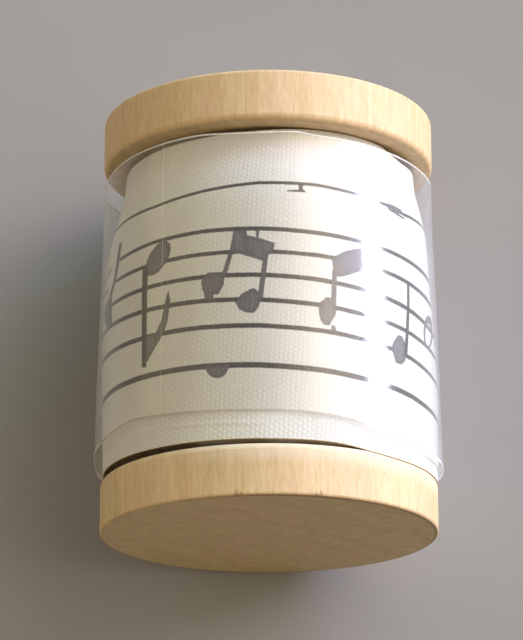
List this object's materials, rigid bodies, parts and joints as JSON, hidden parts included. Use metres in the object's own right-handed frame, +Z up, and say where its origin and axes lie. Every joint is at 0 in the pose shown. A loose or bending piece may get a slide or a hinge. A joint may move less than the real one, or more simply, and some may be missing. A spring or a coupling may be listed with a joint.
{
  "type": "ribbon spool",
  "caption": "Small wooden spool lying on its side, wound with printed woven cotton tape and wrapped in a loose clear film sleeve.",
  "frame": {"origin": "centre of the spool, on its axis, halfway between the two end faces", "axes": "+Y along the spool axis from the near end face to the far one, +Z up with the spool lying on its side, +X to the right seen from the near end"},
  "size_m": [0.0435, 0.0538, 0.042],
  "materials": {
    "flange_wood": "smooth turned pale wood, unvarnished",
    "core_wood": "plain turned wood",
    "cotton_tape": "plain woven natural cotton with dark printed pattern",
    "adhesive_pad": "double-sided adhesive pad",
    "clear_film": "thin clear glossy film"
  },
  "bodies": {
    "spool": {"near_flange": "flange_wood", "far_flange": "flange_wood", "core_barrel": "core_wood", "ribbon_start_tape": "adhesive_pad", "ribbon_roll": "cotton_tape"},
    "sleeve": {"film_sleeve": "clear_film"}
  },
  "joints": [
    {"name": "sleeve_turn", "type": "hinge", "parent": "spool", "child": "sleeve", "pos_m": [0, 0, 0], "axis": [0, 1, 0], "continuous": true}
  ]
}
